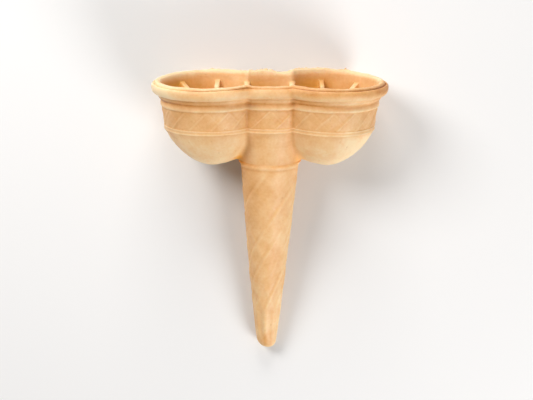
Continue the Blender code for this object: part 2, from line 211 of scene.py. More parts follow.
def lattice(slash, back, pitch_mm, sharp):
    """Relief in mm of slanted ridges. slash and back count cells along the two slants."""
    s, b = saw(slash), saw(back)
    strong = 0.31 + 0.12 * cell_level(np.floor(slash + 0.5), 3.0)
    lines = strong * ridge(s * pitch_mm, 0.41 * sharp) + 0.13 * ridge(b * pitch_mm, 0.32 * sharp)
    # each panel dips towards the ridge on its right, and sits at its own level
    tilt = -0.13 * smooth(-s, 0.0, 0.30) * (s < 0) * (1 - smooth(-s, 0.30, 0.5))
    level = 0.16 * cell_level(np.floor(slash), np.floor(back))
    edge = smooth(np.abs(s) * pitch_mm, 0.1, 0.9) * smooth(np.abs(b) * pitch_mm, 0.1, 0.9)
    return lines + tilt + level * edge


def band_fade(w):
    return smooth(-w, -BAND_TOP - 0.05, -BAND_TOP + 0.45) * (1 - smooth(-w, -BAND_LOW - 0.35, -BAND_LOW + 0.15))


def cup_band(side, theta, w):
    """Waffle band on a cup; theta is 0 at the middle and 90 degrees at the front."""
    alpha = (theta / DEG - 90.0) if side > 0 else (90.0 - theta / DEG)
    slash = (alpha - PHASE[side] - SLANT * (w - BAND_MID)) / CELL
    back = (alpha - PHASE[side] - SLANT * (BAND_TOP - BAND_MID) + SLANT * (w - BAND_TOP)) / CELL
    return lattice(slash, back, CELL * DEG * 20.8, 1.0) * band_fade(w)


def mid_band(u, front, w):
    x = u if front else -u
    slash = (x - MID_PHASE - (w - BAND_MID)) / MID_CELL
    back = (x - MID_PHASE - (BAND_TOP - BAND_MID) + (w - BAND_TOP)) / MID_CELL
    return lattice(slash, back, MID_CELL, 1.0) * band_fade(w)


def stem_relief(phi, w, r):
    """Soft slanted steps round the stem, running into upright flutes near the tip."""
    p = phi / DEG
    slash = (p - DIA_PHI - DIA_TURN * (w - DIA_W)) / 45.0
    back = (p - 20.0 + DIA_TURN * (w - DIA_W)) / 45.0
    s, b = saw(slash), saw(back)
    pitch = 45.0 * DEG * r
    line = 0.55 + 1.3 * cell_level(np.floor(slash + 0.5), np.floor((w + 500.0) / 12.6))
    up = 0.26 * np.clip(line, 0.12, 1.0) * ridge(s * pitch, 0.62) + 0.06 * ridge(b * pitch, 0.8)
    dip = -0.28 * np.clip(line, 0.3, 1.0) * smooth(-s * pitch, 0.3, 1.5) * (s < 0) * (1 - smooth(-s, 0.14, 0.5))
    level = 0.24 * cell_level(np.floor(slash), np.floor(back) + 7) * smooth(np.abs(s), 0.03, 0.3) * smooth(np.abs(b), 0.03, 0.3)
    fade = smooth(-w, 38.9, 41.0) * (1 - smooth(-w, 98.0, 104.0))
    flute = 0.22 * np.cos((p + 8.0) / 45.0 * 2 * math.pi) * smooth(-w, 99.0, 104.0) * (1 - smooth(-w, 113.0, 117.0))
    return (up + dip + level) * fade + flute


# ------------------------------------------------------------------ outside rows
# (w, cup radius) down the outside of a cup from the lip's crest
LIP_ROWS = [
    (-0.02, 22.95), (-0.10, 23.22), (-0.28, 23.46), (-0.55, 23.62), (-0.85, 23.72), (-1.10, 23.78), (-1.32, 23.90), (-1.40, 24.06),
    (-1.30, 24.20), (-1.12, 24.34), (-1.04, 24.54), (-1.14, 24.80), (-1.42, 25.03), (-1.85, 25.21), (-2.40, 25.31),
    (-2.95, 25.33), (-3.45, 25.28), (-3.92, 25.18), (-4.34, 25.02), (-4.70, 24.78), (-5.02, 24.44), (-5.28, 24.02),
    (-5.48, 23.56), (-5.64, 23.12), (-5.80, 22.80), (-5.98, 22.64), (-6.22, 22.60), (-6.52, 22.56), (-6.82, 22.47), (-7.08, 22.32),
    (-7.32, 22.11), (-7.54, 21.88), (-7.76, 21.67), (-7.98, 21.55), (-8.24, 21.51), (-8.58, 21.55), (-8.98, 21.62), (-9.38, 21.69), (-9.76, 21.74),
    (-10.08, 21.73), (-10.32, 21.66), (-10.50, 21.52), (-10.66, 21.33), (-10.80, 21.16), (-10.90, 21.06),
]
GROOVE_ROWS = (5, 8)  # rows of the lip's groove, painted browner: partly baked tone and partly painted shade in the groove


def outer_profile():
    """(w, cup radius, middle depth, middle half width, fillet) for every level down to the dome."""
    rows = [(w, r) for w, r in LIP_ROWS]
    count = 27
    for i in range(1, count + 1):
        t = i / count
        rows.append((lerp(-10.96, BAND_LOW, t), lerp(20.98, 20.24, t)))
    rows += [(-18.84, 20.32), (-18.98, 20.43), (-19.14, 20.45), (-19.32, 20.36), (-19.56, 20.31), (-19.86, 20.30),
             (-20.14, 20.34), (-20.34, 20.42), (-20.52, 20.41), (-20.70, 20.28), (-20.94, 20.12), (-21.15, 19.98)]
    out = []
    for w, r in rows:
        b = r - float(inset(w))
        # the groove rows get a tone of -1, which paints them browner, partly as painted shade
        groove = GROOVE_ROWS[0] <= len(out) <= GROOVE_ROWS[1]
        out.append((w, r, b, b * float(wide(w)), float(fillet(w)), False, -1.0 if groove else 0.0))
    return out


def body_at(w):
    """Cup radius, middle depth, middle half width and fillet below the waffle band."""
    b = funnel_depth(w)
    if w < -34.9:
        b = lerp(FUNNEL_B_LOW, 12.38, float(smooth(-w, 35.1, 35.9)))
    # faint rings round the funnel
    b += 0.10 * math.cos((w + 22.6) / 1.75 * 2 * math.pi) * float(smooth(-w, 21.6, 22.4) * (1 - smooth(-w, 27.5, 29.5)))
    return dome(w, DOME_R, DOME_DEEP), b, b * float(wide(w)), float(fillet(w))


def separation():
    lo, hi = -37.0, -30.0
    for _ in range(40):
        w = 0.5 * (lo + hi)
        r, b, a, k = body_at(w)
        joined = all(crossing(s, w, r, b, a, k) is not None for s in (1, -1))
        if joined:
            hi = w
        else:
            lo = w
    return 0.5 * (lo + hi)


class Mesh:
    def __init__(self):
        self.points = []
        self.stem = []
        self.tone = []
        self.count = 0
        self.faces = []

    def add(self, u, v, w, stem=0.0, tone=0.0):
        u = np.atleast_1d(np.asarray(u, float))
        v = np.broadcast_to(np.asarray(v, float), u.shape)
        w = np.broadcast_to(np.asarray(w, float), u.shape)
        self.points.append(np.stack([u, v, w], 1))
        self.stem.append(np.full(len(u), float(stem)))
        self.tone.append(np.broadcast_to(np.asarray(tone, float), u.shape))
        first = self.count
        self.count += len(u)
        return list(range(first, self.count))

    def strip(self, upper, lower, flip=False):
        for j in range(len(upper) - 1):
            loop = [upper[j], upper[j + 1], lower[j + 1], lower[j]]
            self.loop(loop, flip)

    def loop(self, loop, flip=False):
        out = []
        for i in loop:
            if i not in out:
                out.append(i)
        if len(out) > 2:
            self.faces.append(out[::-1] if flip else out)

    def bridge(self, one, two, flip=False):
        P = np.concatenate(self.points)
        i = j = 0
        while i < len(one) - 1 or j < len(two) - 1:
            a = np.linalg.norm(P[one[i + 1]] - P[two[j]]) if i < len(one) - 1 else 1e9
            b = np.linalg.norm(P[one[i]] - P[two[j + 1]]) if j < len(two) - 1 else 1e9
            if a < b:
                self.loop([one[i], one[i + 1], two[j]], flip)
                i += 1
            else:
                self.loop([one[i], two[j + 1], two[j]], flip)
                j += 1


def cup_radius(side, theta, w, r, b, a, k):
    """Radius from the cup's axis with the fuller side and the fillet."""
    c = cup_axis(side, w)
    base = r + float(fuller(w)) * (0.5 + 0.5 * np.cos(theta)) ** 1.5
    rho = base + 0.0
    for _ in range(14):
        u, v = c - rho * np.cos(theta), rho * np.sin(theta)
        gap = middle_gap(u, v, a, b) - (rho - base)
        rho = base + np.where(gap > 0, swell(gap, k), 0.25 * k)
    return rho


def outer_row(mesh, w, r, b, a, k, pinched=False, tone=0.0):
    row, ends, grow = {}, {}, 0.25 * k
    for side in (1, -1):
        c = cup_axis(side, w)
        cross = crossing(side, w, r, b, a, k)
        if pinched or cross is None:
            rho = float(cup_radius(side, np.array([0.0]), w, r, b, a, k)[0])
            u = 0.5 * (c - rho + a + grow)
            front = mesh.add(side * u, 0.0, w, tone=tone)[0]
            back, start = front, 0.0
            ends[side] = 0.5 * math.pi
        else:
            u, v, start = cross
            front = mesh.add(side * u, v, w, tone=tone)[0]
            back = mesh.add(side * u, -v, w, tone=tone)[0]
            ends[side] = math.atan2(u / a, v / b)
        theta = start + (2 * math.pi - 2 * start) * np.arange(1, CUP_COLS) / CUP_COLS
        rho = cup_radius(side, theta, w, r, b, a, k)
        near = np.minimum(theta - start, 2 * math.pi - start - theta) * r
        rho = rho + cup_band(side, theta, w) * smooth(near, 0.2, 1.4)
        ids = mesh.add(side * (c - rho * np.cos(theta)), rho * np.sin(theta), w, tone=tone)
        row["R" if side > 0 else "L"] = [front] + ids + [back]
    for name, sign, first, last in (("F", 1, row["L"][0], row["R"][0]), ("B", -1, row["L"][-1], row["R"][-1])):
        phi = lerp(-ends[-1], ends[1], np.arange(1, MID_COLS) / MID_COLS)
        u, v = a * np.sin(phi), b * np.cos(phi)
        far = np.sqrt(u * u + v * v)
        du, dv = u / far, v / far
        add = np.zeros_like(u)
        for _ in range(14):
            uu, vv = u + du * add, v + dv * add
            new = np.zeros_like(u)
            for side in (1, -1):
                c = cup_axis(side, w)
                ang = np.arctan2(vv, c - side * uu)
                base = r + float(fuller(w)) * (0.5 + 0.5 * np.cos(ang)) ** 1.5
                gap = np.sqrt((side * uu - c) ** 2 + vv**2) - base - add
                new = np.maximum(new, np.where(gap > 0, swell(gap, k), grow))
            add = new
        near = np.minimum(phi + ends[-1], ends[1] - phi) * b
        add = add + mid_band(u, sign > 0, w) * smooth(near, 0.2, 1.4)
        ids = mesh.add(u + du * add, sign * (v + dv * add), w, tone=tone)
        row[name] = [first] + ids + [last]
    return row


def ring_row(mesh, w, radius, bump=None, cols=None, joined=None):
    """One level of the stem: 2 x MID_COLS columns from the left round the front."""
    n = cols or 2 * MID_COLS
    angle = -0.5 * math.pi + 2 * math.pi * np.arange(n) / n
    rad = np.full(n, float(radius))
    if bump is not None:
        rad = rad + bump(angle, w, radius)
    if joined is not None:
        rad = rad + joined(angle, w, radius)
    ids = mesh.add(rad * np.sin(angle), rad * np.cos(angle), w, stem=1.0)
    half = n // 2
    return {"F": ids[: half + 1], "B": [ids[0]] + ids[:half - 1:-1]}


def web(angle, w, radius):
    """The stem's share of the fillet towards the domes, below where they part."""
    k = float(fillet(w))
    r = dome(w, DOME_R, DOME_DEEP)
    if r <= 0.0:
        return 0.0 * angle
    add = np.zeros_like(angle)
    for _ in range(10):
        rad = radius + add
        u, v = rad * np.sin(angle), rad * np.cos(angle)
        new = np.zeros_like(add)
        for side in (1, -1):
            c = cup_axis(side, w)
            ang = np.arctan2(np.abs(v), c - side * u)
            base = r + float(fuller(w)) * (0.5 + 0.5 * np.cos(ang)) ** 1.5
            gap = np.sqrt((side * u - c) ** 2 + v * v) - base - add
            new = np.maximum(new, np.where(gap > 0, swell(gap, k), 0.25 * k))
        add = new
    return add


def build_outside(mesh):
    rows = [outer_row(mesh, *p) for p in outer_profile()]
    top = rows[0]
    part_w = separation()
    steps = 22
    for i in range(1, steps + 1):
        # levels close up towards the parting
        t = 1.0 - (1.0 - i / steps) ** 1.6
        w = lerp(-21.3, part_w, t)
        rows.append(outer_row(mesh, w, *body_at(w), pinched=(i == steps)))
    part = rows[-1]
    for k in range(len(rows) - 1):
        for name in "RBLF":
            mesh.strip(rows[k][name], rows[k + 1][name], flip=name in "LF")

    for side, name in ((1, "R"), (-1, "L")):
        last = part[name]
        levels = [lerp(part_w, -37.2, 1 - (1 - i / 12) ** 2.2) for i in range(1, 12)]
        for w in levels:
            r, b, a, k = body_at(w)
            theta = 2 * math.pi * np.arange(CUP_COLS) / CUP_COLS
            k2 = k * float(1 - smooth(-w, 36.4, 37.2))
            rho = cup_radius(side, theta, w, r, b, a, max(k2, 0.01))
            c = cup_axis(side, w)
            ids = mesh.add(side * (c - rho * np.cos(theta)), rho * np.sin(theta), w)
            ids.append(ids[0])
            mesh.strip(last, ids, flip=side < 0)
            last = ids
        pole = mesh.add(side * cup_axis(side, -37.24), 0.0, DOME_FROM - DOME_DEEP)[0]
        for j in range(len(last) - 1):
            mesh.loop([last[j], last[j + 1], pole], flip=side < 0)

    # the stem
    rows = [{"F": part["F"], "B": part["B"]}]
    for i in range(1, 7):
        w = lerp(part_w, -35.75, i / 6)
        rows.append(ring_row(mesh, w, body_at(w)[1], joined=web))
    for w, r in ((-35.95, 12.42), (-36.2, 12.50), (-36.5, 12.56), (-36.85, 12.57), (-37.15, 12.52), (-37.4, 12.42), (-37.65, 12.34), (-37.95, 12.32)):
        rows.append(ring_row(mesh, w, r, joined=web))
    count = 122
    for i in range(count + 1):
        w = lerp(STEM_TOP, STEM_LOW, i / count)
        rows.append(ring_row(mesh, w, stem_radius(w), stem_relief))
    for w, r in ((-117.7, 4.28), (-118.2, 4.17), (-118.7, 4.0), (-119.2, 3.76), (-119.65, 3.46), (-120.05, 3.1), (-120.4, 2.68), (-120.7, 2.2), (-120.92, 1.65), (-121.08, 1.05), (-121.17, 0.5)):
        rows.append(ring_row(mesh, w, r))
    for k in range(len(rows) - 1):
        for name in "FB":
            mesh.strip(rows[k][name], rows[k + 1][name], flip=name == "F")
    pole = mesh.add(0.0, 0.0, TIP_W, stem=1.0)[0]
    for name in "FB":
        last = rows[-1][name]
        for j in range(len(last) - 1):
            mesh.loop([last[j], last[j + 1], pole], flip=name == "F")
    return top


# ------------------------------------------------------------------ inside
FIN_SIDE = [(-1.22, 0.0), (-1.0, 0.10), (-0.92, 0.5), (-0.84, 0.88), (-0.68, 0.99), (0.0, 1.0), (0.68, 0.99), (0.84, 0.88), (0.92, 0.5), (1.0, 0.10), (1.22, 0.0)]
CUSP_SIDE = [(1.45, 0.0), (1.22, 0.10), (1.10, 0.5), (0.98, 0.88), (0.72, 0.99)]
GAP_STEPS = 7
MID_IN = 22


def inside_profile():
    """(w, cup radius, middle depth) down the inside to the level where its domes part."""
    rows = [(-0.02, 22.40), (-0.10, 22.00), (-0.26, 21.66), (-0.55, 21.36), (-1.0, 21.16), (-1.8, 21.02), (-2.8, 20.92), (-3.7, 20.84)]
    for i in range(11):
        w = lerp(FIN_TOP, FIN_SHOULDER - 0.4, i / 10)
        rows.append((w, lerp(20.80, 20.3, i / 10)))
    for i in range(1, 13):
        t = i / 12
        rows.append((lerp(-7.0, DOME_FROM, t), lerp(20.3, 18.45, t)))
    out = [(w, r, r - float(inset(w))) for w, r in rows]
    for w in (-20.4, -21.6, -22.8, -24.0, -25.2, -26.3, -27.3):
        out.append((w, dome(w, DOME_R_IN, DOME_DEEP_IN), lerp(18.45 - 5.1, funnel_depth(w) - WALL, float(smooth(-w, 19.2, 23.0)))))
    return out


def fin_reach(w):
    if w > FIN_TOP:
        return 0.0
    if w > FIN_SHOULDER:
        return FIN_REACH * (FIN_TOP - w) / (FIN_TOP - FIN_SHOULDER)
    if w > DOME_FROM:
        return FIN_REACH
    return FIN_REACH * max(0.0, 1.0 - (DOME_FROM - w) / 14.5) ** 0.6


def plain_cross(side, w, r, b, a):
    c = cup_axis(side, w)
    lo, hi = c - r, min(a, c)
    if lo >= a:
        return None
    for _ in range(50):
        u = 0.5 * (lo + hi)
        if math.sqrt(max(0.0, r * r - (u - c) ** 2)) < b * math.sqrt(max(0.0, 1.0 - (u / a) ** 2)):
            lo = u
        else:
            hi = u
    u = 0.5 * (lo + hi)
    return u, math.sqrt(max(0.0, r * r - (u - c) ** 2))


def cup_inside(side, w, r, start):
    """Points round the inside of one cup from just past one cusp to just before the other."""
    c = cup_axis(side, w)
    reach = fin_reach(w)
    half = FIN_HALF * min(1.0, r / 9.0)
    lift = math.atan2(max(0.0, DOME_FROM - w), r) * 0.9
    out = []
    here = start
    for k, degrees in enumerate(FIN_ANGLES + (None,)):
        if degrees is None:
            goal = 2 * math.pi - start
        else:
            middle = degrees * DEG
            goal = middle - FIN_SIDE[-1][0] * half / r
        for j in range(1, GAP_STEPS + 1):
            theta = lerp(here, goal, j / GAP_STEPS)
            if degrees is not None and j == GAP_STEPS:
                continue
            if degrees is None and j == GAP_STEPS:
                continue
            out.append((theta, 0.0))
        if degrees is not None:
            for t, rise in FIN_SIDE:
                x = t * half
                rr = r - rise * reach
                theta = middle + math.atan2(x, max(rr, 1.2))
                out.append((theta, rise * reach))
            here = middle + FIN_SIDE[-1][0] * half / r
    pts = []
    for theta, rise in out:
        rho = r - rise * math.cos(lift)
        pts.append((side * (c - rho * math.cos(theta)), rho * math.sin(theta), w + rise * math.sin(lift), min(1.0, rise / FIN_REACH)))
    return pts


def add_points(mesh, pts):
    """Points as (u, v, w) or (u, v, w, how far out on a fin)."""
    a = np.array([p if len(p) == 4 else (*p, 0.0) for p in pts], float)
    return mesh.add(a[:, 0], a[:, 1], a[:, 2], tone=a[:, 3])


def inner_row(mesh, w, r, b, pinched=False):
    a = b * float(wide(w))
    cusp = CUSP_REACH * min(1.0, fin_reach(w) / FIN_REACH)
    if w < DOME_FROM:
        cusp *= max(0.0, 1.0 - (DOME_FROM - w) / 9.0)
    row, ends, seams = {}, {}, {}
    for side in (1, -1):
        c = cup_axis(side, w)
        cross = None if pinched else plain_cross(side, w, r, b, a)
        if cross is None:
            u, v = 0.5 * (c - r + a), 0.0
            start = 0.0
        else:
            u, v = cross
            start = math.atan2(v, c - u)
        ends[side] = (u, v)
        far = CUSP_SIDE[0][0] * FIN_HALF
        on = min(1.0, cusp / CUSP_REACH)
        first = mesh.add(side * u, max(v - cusp, 0.0), w, tone=on)[0]
        last = first if pinched else mesh.add(side * u, -max(v - cusp, 0.0), w, tone=on)[0]
        wing = []
        for t, rise in reversed(CUSP_SIDE):
            uu = u + t * FIN_HALF
            vv = math.sqrt(max(0.0, r * r - (uu - c) ** 2))
            wing.append((uu, vv, rise))
        ang = math.atan2(wing[-1][1], c - wing[-1][0])
        if pinched:
            pts_a = [(side * uu, vv * (0.15 + 0.85 * (i + 1) / len(wing)), w, 0.0) for i, (uu, vv, rise) in enumerate(wing)]
            pts_b = [(x, -y, z, f) for x, y, z, f in reversed(pts_a)]
        else:
            pts_a = [(side * uu, max(vv - rise * cusp, 0.3), w, rise * on) for uu, vv, rise in wing]
            pts_b = [(x, -y, z, f) for x, y, z, f in reversed(pts_a)]
        pts = pts_a + cup_inside(side, w, r, ang) + pts_b
        row["R" if side > 0 else "L"] = [first] + add_points(mesh, pts) + [last]
    for name, sign, first, last in (("F", 1, row["L"][0], row["R"][0]), ("B", -1, row["L"][-1], row["R"][-1])):
        ul, ur = -ends[-1][0], ends[1][0]
        pts = []
        for t, rise in reversed(CUSP_SIDE):
            uu = ul + t * FIN_HALF
            vv = b * math.sqrt(max(0.0, 1.0 - min(1.0, abs(uu) / a) ** 2))
            pts.append((uu, vv, rise))
        right = [(ur - t * FIN_HALF, None, rise) for t, rise in CUSP_SIDE]
        p0, p1 = math.asin(max(-1.0, pts[-1][0] / a)), math.asin(min(1.0, right[0][0] / a))
        for j in range(1, MID_IN):
            phi = lerp(p0, p1, j / MID_IN)
            pts.append((a * math.sin(phi), b * math.cos(phi), 0.0))
        for uu, _, rise in right:
            pts.append((uu, b * math.sqrt(max(0.0, 1.0 - min(1.0, abs(uu) / a) ** 2)), rise))
        low = 0.0 if pinched else 0.3
        pts = [(uu, sign * max(vv - rise * cusp, low), w, rise * min(1.0, cusp / CUSP_REACH)) for uu, vv, rise in pts]
        row[name] = [first] + add_points(mesh, pts) + [last]
    return row


def build_inside(mesh):
    rows = [inner_row(mesh, *p) for p in inside_profile()]
    top = rows[0]

    def gap(w):
        total = 0.0
        for side in (1, -1):
            total += cup_axis(side, w) - dome(w, DOME_R_IN, DOME_DEEP_IN) - (funnel_depth(w) - WALL) * float(wide(w))
        return total

    lo, hi = -33.5, -24.0
    for _ in range(40):
        w = 0.5 * (lo + hi)
        if gap(w) > 0:
            lo = w
        else:
            hi = w
    part_w = 0.5 * (lo + hi)
    if part_w > -27.6:
        rows = [r for r, p in zip(rows, inside_profile()) if p[0] > part_w + 0.5]
    part = inner_row(mesh, part_w, dome(part_w, DOME_R_IN, DOME_DEEP_IN), funnel_depth(part_w) - WALL, pinched=True)
    rows.append(part)
    for k in range(len(rows) - 1):
        for name in "RBLF":
            mesh.strip(rows[k][name], rows[k + 1][name], flip=name in "RB")
    for side, name in ((1, "R"), (-1, "L")):
        last = part[name]
        for i in range(1, 8):
            w = lerp(part_w, -35.1, 1 - (1 - i / 8) ** 2.0)
            r = dome(w, DOME_R_IN, DOME_DEEP_IN)
            c = cup_axis(side, w)
            wing = []
            n = len(CUSP_SIDE)
            far = 3.0 / max(r, 3.0)
            for j in range(n):
                wing.append(far * (j + 1) / n)
            pts = [(side * (c - r * math.cos(t)), r * math.sin(t), w) for t in wing]
            back = [(x, -y, z) for x, y, z in reversed(pts)]
            ids = add_points(mesh, [(side * (c - r), 0.0, w)] + pts + cup_inside(side, w, r, wing[-1]) + back)
            ids.append(ids[0])
            mesh.strip(last, ids, flip=side > 0)
            last = ids
        pole = mesh.add(side * cup_axis(side, -35.2), 0.0, DOME_FROM - DOME_DEEP_IN)[0]
        for j in range(len(last) - 1):
            mesh.loop([last[j], last[j + 1], pole], flip=side > 0)
    half = len(part["F"]) - 1
    rows = [{"F": part["F"], "B": part["B"]}]
    for w in [lerp(part_w, -38.0, i / 5) for i in range(1, 6)] + [lerp(-41.0, -112.0, i / 18) for i in range(19)]:
        radius = (funnel_depth(w) if w > STEM_TOP else stem_radius(w)) - WALL - 0.15
        rows.append(ring_row(mesh, w, radius, cols=2 * half))
    for k in range(len(rows) - 1):
        for name in "FB":
            mesh.strip(rows[k][name], rows[k + 1][name], flip=name == "B")
    pole = mesh.add(0.0, 0.0, BORE_LOW, stem=1.0)[0]
    for name in "FB":
        last = rows[-1][name]
        for j in range(len(last) - 1):
            mesh.loop([last[j], last[j + 1], pole], flip=name == "B")
    return top


# ------------------------------------------------------------------ laying down
def lay_down(points, stem):
    """Upright millimetres to the frame's metres, as the CAD solid lies."""
    u, v, w = points[:, 0].copy(), points[:, 1], points[:, 2].copy()
    u -= stem * STEM_LEAN * np.maximum(0.0, STEM_TOP - w)
    near = np.clip((np.abs(points[:, 0]) - SPLAY_FROM) / 2.0, 0.0, 1.0) * (1.0 - stem)
    tilt = np.where(points[:, 0] > 0, math.tan(SPLAY[1]), math.tan(SPLAY[-1]))
    w -= near * tilt * (np.abs(points[:, 0]) - CUP_X)
    x = u + SHIFT[0]
    y = w * math.cos(PITCH) - v * math.sin(PITCH) + SHIFT[1]
    z = w * math.sin(PITCH) + v * math.cos(PITCH) + SHIFT[2]
    return np.stack([x, y, z], 1) * MM


def build_wafer():
    mesh = Mesh()
    outer = build_outside(mesh)
    outside = mesh.count
    inner = build_inside(mesh)
    for name in "RBLF":
        mesh.bridge(outer[name], inner[name], flip=name in "RB")
    upright = np.concatenate(mesh.points)
    stem = np.concatenate(mesh.stem)
    return upright, stem, np.concatenate(mesh.tone), mesh.faces, outside


# how brown each height is, 0 pale to 1 dark: the cups' and middle's outside, then the stem's. On the cups the dark band
# under the bead is partly baked tone and partly painted shade of the bead's overhang, and the dark lines in the grooves
# below it are painted shade
CUP_TOAST_AND_SHADE = [
    (0.0, 0.16), (-0.6, 0.22), (-1.0, 0.30), (-1.5, 0.36), (-2.6, 0.34), (-3.8, 0.30), (-4.8, 0.20), (-5.4, 0.22), (-5.8, 0.28),
    (-6.4, 0.32), (-7.1, 0.42), (-7.6, 0.58), (-8.1, 0.64), (-8.5, 0.58), (-9.2, 0.44), (-9.8, 0.30), (-10.3, 0.24), (-10.7, 0.48), (-11.1, 0.50),
    (-18.4, 0.46), (-18.7, 0.50), (-19.0, 0.26), (-19.8, 0.36), (-20.4, 0.22), (-20.9, 0.44), (-21.4, 0.34), (-23.5, 0.24), (-37.3, 0.06),
]
STEM_TOAST = [
    (-34.0, 0.42), (-35.7, 0.48), (-36.3, 0.33), (-37.2, 0.38), (-37.9, 0.52), (-39.0, 0.42), (-60.0, 0.42), (-90.0, 0.40), (-100.0, 0.34),
    (-113.0, 0.30), (-117.0, 0.36), (-119.0, 0.30), (-120.2, 0.12), (-121.2, 0.04),
]
FUNNEL_TOAST = [(-21.3, 0.50), (-23.0, 0.40), (-26.0, 0.46), (-29.0, 0.38), (-33.0, 0.42), (-36.0, 0.5)]


# by place across: the inside's painted shade, darker on the left part of each compartment and lighter on its right; its
# painted orange bounce light; how much browner the front of the lip is; and the painted shade under the bead
INSIDE_SHADE_AND_LIGHT = [
    (50.0, -0.26), (46.0, -0.22), (38.0, -0.04), (26.0, 0.0), (21.0, 0.10), (13.0, 0.16), (11.2, 0.10), (10.0, -0.10), (4.0, -0.08), (-2.0, 0.06), (-7.0, 0.12),
    (-9.0, 0.04), (-10.5, -0.24), (-20.0, -0.22), (-26.0, -0.06), (-33.0, 0.0), (-44.0, 0.14), (-50.0, 0.14),
]
INSIDE_BOUNCE_GLOW = [
    (50.0, 0.0), (44.0, 0.1), (26.0, 0.30), (20.0, 0.60), (13.0, 0.65), (11.0, 0.40), (10.0, 0.15), (2.0, 0.15), (-2.0, 0.35), (-8.0, 0.45), (-10.0, 0.2),
    (-14.0, 0.15), (-26.0, 0.14), (-33.0, 0.30), (-40.0, 0.95), (-50.0, 1.0),
]
LIP_TOAST = [
    (50.0, 0.20), (40.0, 0.25), (34.0, 0.32), (28.0, 0.60), (22.0, 0.95), (13.0, 0.95), (11.0, 0.60), (9.6, 0.40), (5.0, 0.45), (-8.0, 0.48),
    (-12.0, 0.40), (-16.0, 0.32), (-30.0, 0.28), (-40.0, 0.04), (-50.0, 0.0),
]
UNDER_BEAD_SHADE = [
    (50.0, 0.15), (46.0, 0.15), (42.0, 0.0), (27.0, -0.02), (21.0, 0.26), (13.0, 0.36), (11.0, 0.22), (9.6, 0.0), (3.0, 0.0), (-2.0, 0.05),
    (-5.5, 0.20), (-9.0, 0.20), (-10.5, 0.10), (-14.0, 0.04), (-20.0, 0.14), (-30.0, 0.26), (-37.0, 0.28), (-43.0, 0.40), (-50.0, 0.40),
]


def stem_half(w):
    t = (STEM_TOP - w) / (STEM_TOP - STEM_LOW)
    return lerp(STEM_R_TOP, STEM_R_LOW, t)


def along(table, w):
    xs = np.array([p[0] for p in table])[::-1]
    ys = np.array([p[1] for p in table])[::-1]
    return np.interp(w, xs, ys)


